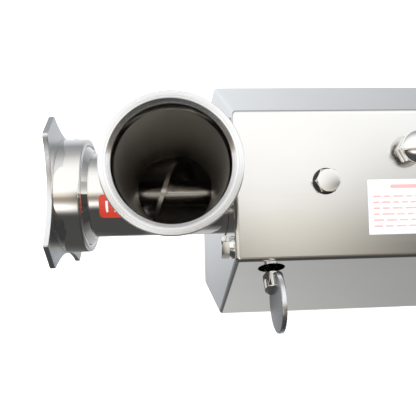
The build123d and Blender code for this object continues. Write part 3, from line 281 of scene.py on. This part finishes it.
def make_floor():
    half = FLOOR_HALF
    corners = [(-half, -half, 0), (half, -half, 0), (half, half, 0), (-half, half, 0)]
    mesh = bpy.data.meshes.new("floor")
    mesh.from_pydata(corners, [], [(0, 1, 2, 3)])
    floor = bpy.data.objects.new("floor", mesh)
    bpy.context.scene.collection.objects.link(floor)
    floor.location.z = -FLOOR_DROP
    material = bpy.data.materials.new("floor_pale")
    material.use_nodes = True
    shader = material.node_tree.nodes["Principled BSDF"]
    shader.inputs["Base Color"].default_value = (FLOOR_GREY, FLOOR_GREY, FLOOR_GREY, 1)
    shader.inputs["Roughness"].default_value = FLOOR_ROUGH
    shader.inputs["Emission Color"].default_value = (1, 1, 1, 1)
    shader.inputs["Emission Strength"].default_value = FLOOR_GLOW
    mesh.materials.append(material)
    floor.visible_glossy = False


# ---- Materials ---------------------------------------------------------------------------
ROUGH_SPREAD = 0.3            # unevenness of a finish, as a share of its roughness
BORE_DULLING = 0.4            # metallic lost within a bore; together with the bore's darker colour this paints shade there
TURN_PITCH = 0.35 * MM        # fine rings left by the lathe
TURN_DEPTH = 0.04 * MM
THROAT_R = 37 * MM
THROAT_BORE_MASK = 34.5 * MM  # just outside the throat's bore, inside its wall
BARREL_BORE_MASK = 39 * MM    # likewise for the barrel


def surface(name, colour, rough, metal=1.0, cloud=0.04, grain=None, bump=0.0, wave=0.0, inside=None):
    """Procedural surface: cloudy colour and roughness, optional brushed grain and slow waviness.

    inside = (axis, centre, radius, colour, roughness) is a duller, less metallic finish within a bore,
    with a darker colour there that is painted shade.
    """
    material = bpy.data.materials.new(name)
    material.use_nodes = True
    g = Graph(material.node_tree)
    shader = g.add("ShaderNodeBsdfPrincipled")
    g.link(shader.outputs[0], g.add("ShaderNodeOutputMaterial").inputs[0])
    where = g.add("ShaderNodeTexCoord").outputs["Object"]
    blotch = g.noise(where, 26.0, 5.0, 0.6)
    smudge = g.noise(where, 9.0, 3.0, 0.55)
    tone = g.ramp(blotch, [(0.30, tuple(c * (1 - cloud) for c in colour)), (0.70, colour)])
    fine = blotch
    if grain:
        fine = g.noise(g.stretch(where, grain), 1.0, 4.0, 0.75)
        tone = g.mix(g.math("MULTIPLY", fine, cloud * 1.5), tone, tuple(c * 0.8 for c in colour))
    wear = g.math("MULTIPLY_ADD", fine, 0.5, g.math("MULTIPLY", smudge, 0.5))
    rough_map = g.add("ShaderNodeMapRange")
    rough_map.inputs["From Min"].default_value = 0.25
    rough_map.inputs["From Max"].default_value = 0.75
    rough_map.inputs["To Min"].default_value = rough * (1 - ROUGH_SPREAD)
    rough_map.inputs["To Max"].default_value = rough * (1 + ROUGH_SPREAD)
    g.link(wear, rough_map.inputs["Value"])
    roughness = rough_map.outputs[0]
    if inside:
        axis, centre, radius, bore_shade_tone, dull_rough = inside
        off = g.add("ShaderNodeVectorMath", operation="SUBTRACT")
        off.inputs[1].default_value = centre
        g.link(where, off.inputs[0])
        flat = g.add("ShaderNodeVectorMath", operation="MULTIPLY")
        flat.inputs[1].default_value = tuple(0.0 if i == axis else 1.0 for i in range(3))
        g.link(off.outputs[0], flat.inputs[0])
        length = g.add("ShaderNodeVectorMath", operation="LENGTH")
        g.link(flat.outputs[0], length.inputs[0])
        bore_finish_and_shade_mask = g.math("LESS_THAN", length.outputs["Value"], radius)
        # painted shade: the darker bore colour stands in for the shade inside the tube; the rougher
        # finish there is real
        tone = g.mix(bore_finish_and_shade_mask, tone, bore_shade_tone)
        roughness = g.math("ADD", g.math("MULTIPLY", roughness, g.math("SUBTRACT", 1.0, bore_finish_and_shade_mask)),
                           g.math("MULTIPLY", bore_finish_and_shade_mask, dull_rough))
        g.link(g.math("MULTIPLY_ADD", bore_finish_and_shade_mask, -BORE_DULLING, metal), shader.inputs["Metallic"])
    g.link(tone, shader.inputs["Base Color"])
    g.link(roughness, shader.inputs["Roughness"])
    if not inside:
        shader.inputs["Metallic"].default_value = metal
    if bump or wave:
        height = g.math("MULTIPLY", fine, bump)
        if wave:
            slow = g.noise(where, 6.0, 1.5)
            height = g.math("MULTIPLY_ADD", slow, wave, height)
        node = g.add("ShaderNodeBump")
        node.inputs["Strength"].default_value = 1.0
        node.inputs["Distance"].default_value = 0.001
        g.link(height, node.inputs["Height"])
        g.link(node.outputs[0], shader.inputs["Normal"])
    return material


def turned(name, colour, rough, centre, axis, pitch, depth):
    """Metal faced on a lathe: fine rings around the axis, uneven in depth and finish."""
    material = bpy.data.materials.new(name)
    material.use_nodes = True
    g = Graph(material.node_tree)
    shader = g.add("ShaderNodeBsdfPrincipled")
    g.link(shader.outputs[0], g.add("ShaderNodeOutputMaterial").inputs[0])
    where = g.add("ShaderNodeTexCoord").outputs["Object"]
    off = g.add("ShaderNodeVectorMath", operation="SUBTRACT")
    off.inputs[1].default_value = centre
    g.link(where, off.inputs[0])
    flat = g.add("ShaderNodeVectorMath", operation="MULTIPLY")
    flat.inputs[1].default_value = tuple(0.0 if i == axis else 1.0 for i in range(3))
    g.link(off.outputs[0], flat.inputs[0])
    length = g.add("ShaderNodeVectorMath", operation="LENGTH")
    g.link(flat.outputs[0], length.inputs[0])
    radius = length.outputs["Value"]
    rings = g.math("SINE", g.math("MULTIPLY", radius, 2 * pi / pitch))
    coarse = g.add("ShaderNodeCombineXYZ")
    g.link(g.math("MULTIPLY", radius, 1600.0), coarse.inputs[0])
    uneven = g.noise(coarse.outputs[0], 1.0, 3.0, 0.7)
    cloudy = g.noise(where, 60.0, 3.0)
    tone = g.ramp(uneven, [(0.35, tuple(c * 0.84 for c in colour)), (0.65, colour)])
    g.link(tone, shader.inputs["Base Color"])
    shader.inputs["Metallic"].default_value = 1.0
    spread = g.add("ShaderNodeMapRange")
    spread.inputs["To Min"].default_value = rough * 0.7
    spread.inputs["To Max"].default_value = rough * 1.4
    g.link(g.math("MULTIPLY_ADD", uneven, 0.6, g.math("MULTIPLY", cloudy, 0.4)), spread.inputs["Value"])
    g.link(spread.outputs[0], shader.inputs["Roughness"])
    height = g.math("MULTIPLY_ADD", rings, 0.35, uneven)
    node = g.add("ShaderNodeBump")
    node.inputs["Distance"].default_value = depth
    g.link(height, node.inputs["Height"])
    g.link(node.outputs[0], shader.inputs["Normal"])
    return material


def make_materials():
    around_x = (900.0, 30.0, 30.0)
    along_x = (18.0, 900.0, 900.0)
    # painted shade: darker, browner steel colour for the inside of the throat and barrel bores, where
    # shade falls
    bore = (0.52, 0.49, 0.45)
    throat_bore_finish_and_shade = (2, THROAT, THROAT_BORE_MASK, bore, 0.30)
    barrel_bore_finish_and_shade = (0, AXIS, BARREL_BORE_MASK, bore, 0.34)
    return {
        "stainless_polished": surface("stainless_polished", (0.86, 0.85, 0.83), 0.045, grain=around_x,
                                      bump=0.002),
        "throat_steel": surface("throat_steel", (0.84, 0.83, 0.81), 0.09, inside=throat_bore_finish_and_shade),
        "barrel_steel": surface("barrel_steel", (0.86, 0.85, 0.83), 0.05, grain=around_x, bump=0.002,
                                inside=barrel_bore_finish_and_shade),
        "stainless_casing": surface("stainless_casing", (0.87, 0.865, 0.85), 0.17, grain=along_x,
                                    cloud=0.02, wave=0.10, bump=0.002),
        "stainless_satin": surface("stainless_satin", (0.78, 0.79, 0.81), 0.28, grain=along_x, bump=0.01),
        "stainless_machined": surface("stainless_machined", (0.90, 0.90, 0.90), 0.20),
        "rim_turned": turned("rim_turned", (0.93, 0.935, 0.945), 0.13, THROAT, 2, TURN_PITCH, TURN_DEPTH),
        "bright_steel": surface("bright_steel", (0.88, 0.87, 0.85), 0.08, cloud=0.06),
        "screw_steel": surface("screw_steel", (0.76, 0.73, 0.68), 0.20, cloud=0.18, bump=0.05),
        "gear_steel": surface("gear_steel", (0.42, 0.42, 0.43), 0.30, cloud=0.15),
        "chrome_cap": surface("chrome_cap", (0.94, 0.94, 0.94), 0.05),
        "cast_iron": surface("cast_iron", (0.30, 0.31, 0.32), 0.60, metal=0.3, cloud=0.2, bump=0.2),
        "cast_aluminium": surface("cast_aluminium", (0.62, 0.63, 0.64), 0.42, cloud=0.12, bump=0.1),
        "bronze": surface("bronze", (0.62, 0.45, 0.22), 0.28, cloud=0.12),
        "copper_winding": surface("copper_winding", (0.60, 0.30, 0.15), 0.35, cloud=0.25),
        "painted_cowl": surface("painted_cowl", (0.16, 0.17, 0.18), 0.45, metal=0.0, bump=0.1),
        "black_rubber": surface("black_rubber", (0.03, 0.03, 0.03), 0.75, metal=0.0, cloud=0.3, bump=0.1),
        "black_plastic": surface("black_plastic", (0.04, 0.04, 0.045), 0.45, metal=0.0, cloud=0.2,
                                 bump=0.1),
        "nylon_white": surface("nylon_white", (0.85, 0.84, 0.80), 0.5, metal=0.0),
        "button_green": surface("button_green", (0.04, 0.38, 0.12), 0.30, metal=0.0),
        "button_red": surface("button_red", (0.55, 0.02, 0.02), 0.30, metal=0.0),
        "label_white": surface("label_white", (0.72, 0.735, 0.755), 0.40, metal=0.0, cloud=0.02),
        "label_ink": surface("label_ink", (0.86, 0.42, 0.42), 0.45, metal=0.0, cloud=0.15),
        "badge_red": surface("badge_red", (0.60, 0.055, 0.03), 0.30, metal=0.0, cloud=0.15),
        "weld_bead": surface("weld_bead", (0.70, 0.68, 0.64), 0.22, cloud=0.25, bump=0.05),
    }


SPECIAL = {"feed_throat": "throat_steel", "barrel_tube": "barrel_steel", "feed_screw": "screw_steel"}
SLOTS = {part["node"]: part["material_slot"] for part in frame["record"]["subparts"]}


def dress_nodes(materials):
    for name, piece in NODES.items():
        material = materials[SPECIAL.get(name, SLOTS[name])]
        for slot in piece.material_slots:
            slot.material = material


# ---- Detailed pieces ------------------------------------------------------------------------------
def make_piece(name, bm, material, body, replaces=(), sharp=radians(32)):
    """Turn a finished bmesh into a piece that rides on a body."""
    bmesh.ops.remove_doubles(bm, verts=bm.verts, dist=1e-7)
    bmesh.ops.recalc_face_normals(bm, faces=bm.faces)
    mesh = bpy.data.meshes.new(name)
    bm.to_mesh(mesh)
    bm.free()
    mesh.shade_smooth()
    mesh.set_sharp_from_angle(angle=sharp)
    mesh.materials.append(MATERIALS[material])
    piece = bpy.data.objects.new(name, mesh)
    bpy.context.scene.collection.objects.link(piece)
    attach(piece, body)
    if replaces:
        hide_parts(*replaces)


def lathe(bm, profile, origin, axis, side, steps=160):
    """Closed ring: `profile` is (radius, distance along the axis) points around the section."""
    other = axis.cross(side)
    rows = []
    for i in range(steps):
        turn = 2 * pi * i / steps
        out = side * cos(turn) + other * sin(turn)
        rows.append([bm.verts.new(origin + axis * s + out * r) for r, s in profile])
    for i in range(steps):
        here, there = rows[i], rows[(i + 1) % steps]
        for j in range(len(profile)):
            k = (j + 1) % len(profile)
            bm.faces.new((here[j], here[k], there[k], there[j]))


def rounded(points, steps=5):
    """Section with some corners rounded: each point is (radius, along, corner radius)."""
    out = []
    count = len(points)
    for i, (r, s, corner) in enumerate(points):
        if not corner:
            out.append((r, s))
            continue
        here = Vector((r, s))
        back = (Vector(points[i - 1][:2]) - here).normalized() * corner
        ahead = (Vector(points[(i + 1) % count][:2]) - here).normalized() * corner
        for k in range(steps + 1):
            t = k / steps
            point = here + back * (1 - t) ** 2 + ahead * t**2
            out.append((point.x, point.y))
    return out


def make_rim():
    """Throat rim: rounded lip, faced flat, and a bevel down into the bore."""
    outer = (RIM_HIGH.x - RIM_LOW.x) / 2
    bore = outer - 6.8 * MM
    tall = RIM_HIGH.z - RIM_LOW.z
    profile = rounded([
        (outer, 0, 0.4 * MM), (outer, tall, 0.9 * MM), (bore + 2.5 * MM, tall, 0.3 * MM),
        (bore + 2.1 * MM, tall - 0.35 * MM, 0.15 * MM), (bore, tall - 2.2 * MM, 0.6 * MM),
        (bore, 0, 0.3 * MM),
    ])
    bm = bmesh.new()
    lathe(bm, profile, Vector((THROAT.x, THROAT.y, RIM_LOW.z)), UP, ALONG)
    make_piece("rim_ring", bm, "rim_turned", "head", ("throat_rim",))


def make_nut():
    """Ring nut with rounded shoulders and a relief at its open end."""
    low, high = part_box("ring_nut")
    outer = (high.y - low.y) / 2
    flange_low, flange_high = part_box("front_flange")
    bore = (flange_high.y - flange_low.y) / 2 + 0.3 * MM
    long = high.x - low.x
    profile = rounded([
        (outer, 0, 0.3 * MM), (outer, long, 2.6 * MM), (bore + 1.2 * MM, long, 0.5 * MM),
        (bore, long - 1.2 * MM, 0.3 * MM), (bore, 0, 0.2 * MM),
    ])
    bm = bmesh.new()
    lathe(bm, profile, Vector((low.x, 0, AXIS_Z)), ALONG, UP, 192)
    make_piece("nut_ring", bm, "stainless_polished", "ring_nut", ("ring_nut",))


def weld(bm, path, outward, radius, ripple):
    """Closed weld bead along `path`; `outward` gives each point's direction away from the metal."""
    count = len(path)
    sides = 10
    rows = []
    run = 0.0
    for i in range(count):
        tangent = (path[(i + 1) % count] - path[i - 1]).normalized()
        out = outward[i]
        across = tangent.cross(out).normalized()
        out = across.cross(tangent).normalized()
        run += (path[i] - path[i - 1]).length
        size = radius * (0.86 + 0.14 * abs(sin(pi * run / ripple)))
        row = []
        for k in range(sides):
            turn = 2 * pi * k / sides
            row.append(bm.verts.new(path[i] + (across * cos(turn) * 1.25 + out * sin(turn)) * size))
        rows.append(row)
    for i in range(count):
        here, there = rows[i], rows[(i + 1) % count]
        for k in range(sides):
            bm.faces.new((here[k], here[(k + 1) % sides], there[(k + 1) % sides], there[k]))


def make_welds():
    steps = 480
    turns = [2 * pi * i / steps for i in range(steps)]
    ears_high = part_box("ring_nut_ears")[1]
    nut_low, nut_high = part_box("ring_nut")
    nut_r = (nut_high.y - nut_low.y) / 2
    out = [Vector((0.6, cos(t), sin(t))).normalized() for t in turns]
    ring = [Vector((ears_high.x, nut_r * cos(t), AXIS_Z + nut_r * sin(t))) for t in turns]
    bm = bmesh.new()
    weld(bm, ring, out, 0.75 * MM, 1.9 * MM)
    make_piece("ear_weld", bm, "weld_bead", "ring_nut", sharp=radians(60))
    # throat to barrel: the saddle where the two tubes cross
    throat_r = THROAT_R
    barrel_r = (BARREL_HIGH.y - BARREL_LOW.y) / 2
    saddle = []
    out = []
    for t in turns:
        y = throat_r * sin(t)
        z = (barrel_r**2 - y**2) ** 0.5
        saddle.append(Vector((THROAT.x + throat_r * cos(t), y, AXIS_Z + z)))
        out.append(Vector((cos(t), sin(t), 1.0)).normalized())
    bm = bmesh.new()
    weld(bm, saddle, out, 1.3 * MM, 2.6 * MM)
    make_piece("saddle_weld", bm, "weld_bead", "head", sharp=radians(60))
    # throat tube to its rim, underneath
    out = [Vector((cos(t), sin(t), -1.0)).normalized() for t in turns]
    ring = [Vector((THROAT.x + throat_r * cos(t), throat_r * sin(t), RIM_LOW.z)) for t in turns]
    bm = bmesh.new()
    weld(bm, ring, out, 0.9 * MM, 2.0 * MM)
    make_piece("rim_weld", bm, "weld_bead", "head", sharp=radians(60))


BEVEL_STEPS = 3
BEVEL_PROFILE = 0.6
SHARP_EDGE = radians(28)      # edges turning by more than this are broken


def softened(node, width, body):
    """The CAD shape with its sharp edges broken, as a polished part has them."""
    bm = bmesh.new()
    bm.from_mesh(NODES[node].data)
    bmesh.ops.remove_doubles(bm, verts=bm.verts, dist=1e-6)
    bmesh.ops.dissolve_limit(bm, angle_limit=radians(0.5), verts=bm.verts, edges=bm.edges)
    edges = [e for e in bm.edges if len(e.link_faces) == 2 and e.calc_face_angle(0.0) > SHARP_EDGE]
    bmesh.ops.bevel(bm, geom=edges, offset=width, segments=BEVEL_STEPS, profile=BEVEL_PROFILE,
                    affect="EDGES", clamp_overlap=True)
    bmesh.ops.triangulate(bm, faces=[f for f in bm.faces if len(f.verts) > 4])
    material = SPECIAL.get(node, SLOTS[node])
    make_piece(node + "_finish", bm, material, body, (node,), radians(40))


TITLE_HALF = 1.6 * MM
ROW_HALF = 0.7 * MM
SHORTEST_BAR = 4 * MM
BAR_SPACE = 2.2 * MM
INK_THICK = 0.04 * MM


def label_bars():
    """Rows of plain bars on the notice label, with no lettering."""
    low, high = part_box("notice_label")
    top = high.z
    wide = high.x - low.x
    deep = high.y - low.y
    bm = bmesh.new()

    def bar(x0, x1, y, half):
        corners = []
        for cx, start in ((x1 - half, -90), (x0 + half, 90)):
            for k in range(7):
                turn = radians(start + 30 * k)
                corners.append((cx + half * cos(turn), y + half * sin(turn)))
        under = [bm.verts.new((cx, cy, top)) for cx, cy in corners]
        over = [bm.verts.new((cx, cy, top + INK_THICK)) for cx, cy in corners]
        bm.faces.new(over)
        bm.faces.new(list(reversed(under)))
        for k in range(len(corners)):
            m = (k + 1) % len(corners)
            bm.faces.new((under[k], under[m], over[m], over[k]))

    bar(low.x + 0.24 * wide, high.x - 0.24 * wide, high.y - 0.13 * deep, TITLE_HALF)
    dashes = random.Random(7)
    for row in range(6):
        y = high.y - deep * (0.31 + 0.108 * row)
        x = low.x + 0.055 * wide
        limit = high.x - wide * (0.06 if row not in (1, 5) else 0.30)
        while x < limit - SHORTEST_BAR:
            end = min(x + dashes.uniform(5 * MM, 12 * MM), limit)
            bar(x, end, y, ROW_HALF)
            x = end + BAR_SPACE
    make_piece("label_bars", bm, "label_ink", "frame")


BADGE_SPAN = radians(31)      # the same numbers as the CAD's mark
BADGE_TURN = radians(109)
BADGE_THICK = 0.3 * MM
BADGE_CORNER = 0.3            # exponent that squares the outline off


def make_badge():
    """Plain red round-cornered mark wrapped on the barrel, with two pale bars."""
    low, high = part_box("barrel_badge")
    barrel_r = (BARREL_HIGH.y - BARREL_LOW.y) / 2
    middle_x = (low.x + high.x) / 2
    half_x = (high.x - low.x) / 2
    skin = barrel_r + BADGE_THICK

    def patch(bm, half_u, half_v, u0, radius, depth):
        steps = 48
        ring = []
        for i in range(steps):
            t = 2 * pi * i / steps
            c, s = cos(t), sin(t)
            u = u0 + half_u * abs(c) ** BADGE_CORNER * (1 if c > 0 else -1)
            v = half_v * abs(s) ** BADGE_CORNER * (1 if s > 0 else -1)
            ring.append((u, v))
        layers = []
        for shell in (radius, radius - depth):
            rows = []
            for grow in (1.0, 0.66, 0.33):
                row = []
                for u, v in ring:
                    angle = BADGE_TURN + v * grow
                    uu = u0 + (u - u0) * grow
                    y = shell * cos(angle)
                    z = AXIS_Z + shell * sin(angle)
                    row.append(bm.verts.new((middle_x + uu, y, z)))
                rows.append(row)
            middle = (middle_x + u0, shell * cos(BADGE_TURN), AXIS_Z + shell * sin(BADGE_TURN))
            centre = bm.verts.new(middle)
            for a, b in ((0, 1), (1, 2)):
                for i in range(steps):
                    k = (i + 1) % steps
                    bm.faces.new((rows[a][i], rows[a][k], rows[b][k], rows[b][i]))
            for i in range(steps):
                bm.faces.new((rows[2][i], rows[2][(i + 1) % steps], centre))
            layers.append(rows[0])
        for i in range(steps):
            k = (i + 1) % steps
            bm.faces.new((layers[0][i], layers[0][k], layers[1][k], layers[1][i]))

    bm = bmesh.new()
    patch(bm, half_x, BADGE_SPAN / 2, 0.0, skin, BADGE_THICK)
    make_piece("badge_patch", bm, "badge_red", "head", ("barrel_badge",), radians(60))
    bm = bmesh.new()
    for u0 in (-0.35 * half_x, 0.35 * half_x):
        patch(bm, 0.10 * half_x, BADGE_SPAN * 0.24, u0, skin + 0.04 * MM, 0.05 * MM)
    make_piece("badge_bars", bm, "label_white", "head", sharp=radians(60))


LOUVRES = 9
LOUVRE_TOP = 30 * MM          # first slot below the barrel axis
LOUVRE_PITCH = 14 * MM
LOUVRE_HALF = 63 * MM
LOUVRE_SWELL = 3.0 * MM
LOUVRE_SHEET = 0.5 * MM


def make_louvres():
    """Pressed hood over each vent slot of the back lid."""
    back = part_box("back_panel")[1].x
    bm = bmesh.new()
    for i in range(LOUVRES):
        z0 = AXIS_Z - LOUVRE_TOP - LOUVRE_PITCH * i
        rows = []
        for k in range(25):
            u = -1 + 2 * k / 24
            swell = (1 - abs(u) ** 6) ** 0.5 if abs(u) < 1 else 0.0
            row = []
            for m in range(9):
                t = pi * m / 8
                row.append(bm.verts.new((
                    back - 0.2 * MM + LOUVRE_SWELL * swell * sin(t) ** 0.8,
                    LOUVRE_HALF * u,
                    z0 + 1.2 * MM + (4.2 * cos(t) + 1.2 * sin(t)) * MM * (0.35 + 0.65 * swell),
                )))
            rows.append(row)
        for k in range(24):
            for m in range(8):
                bm.faces.new((rows[k][m], rows[k][m + 1], rows[k + 1][m + 1], rows[k + 1][m]))
    bmesh.ops.recalc_face_normals(bm, faces=bm.faces)
    bmesh.ops.solidify(bm, geom=bm.faces[:], thickness=LOUVRE_SHEET)
    make_piece("louvre_hoods", bm, "stainless_casing", "frame", sharp=radians(60))


def make_pieces():
    make_rim()
    make_nut()
    make_welds()
    softened("ring_nut_ears", 0.6 * MM, "ring_nut")
    softened("lock_disc", 0.5 * MM, "lock")
    softened("lock_bolt", 0.4 * MM, "lock")
    softened("filler_plug", 0.35 * MM, "frame")
    softened("flange_bolts", 0.35 * MM, "frame")
    softened("breather_base", 0.4 * MM, "frame")
    softened("breather_cap", 0.5 * MM, "frame")
    label_bars()
    make_badge()
    make_louvres()


make_camera()
make_world()
make_lights()
make_floor()
MATERIALS = make_materials()
dress_nodes(MATERIALS)
make_pieces()
bpy.context.scene.view_settings.view_transform = "Standard"
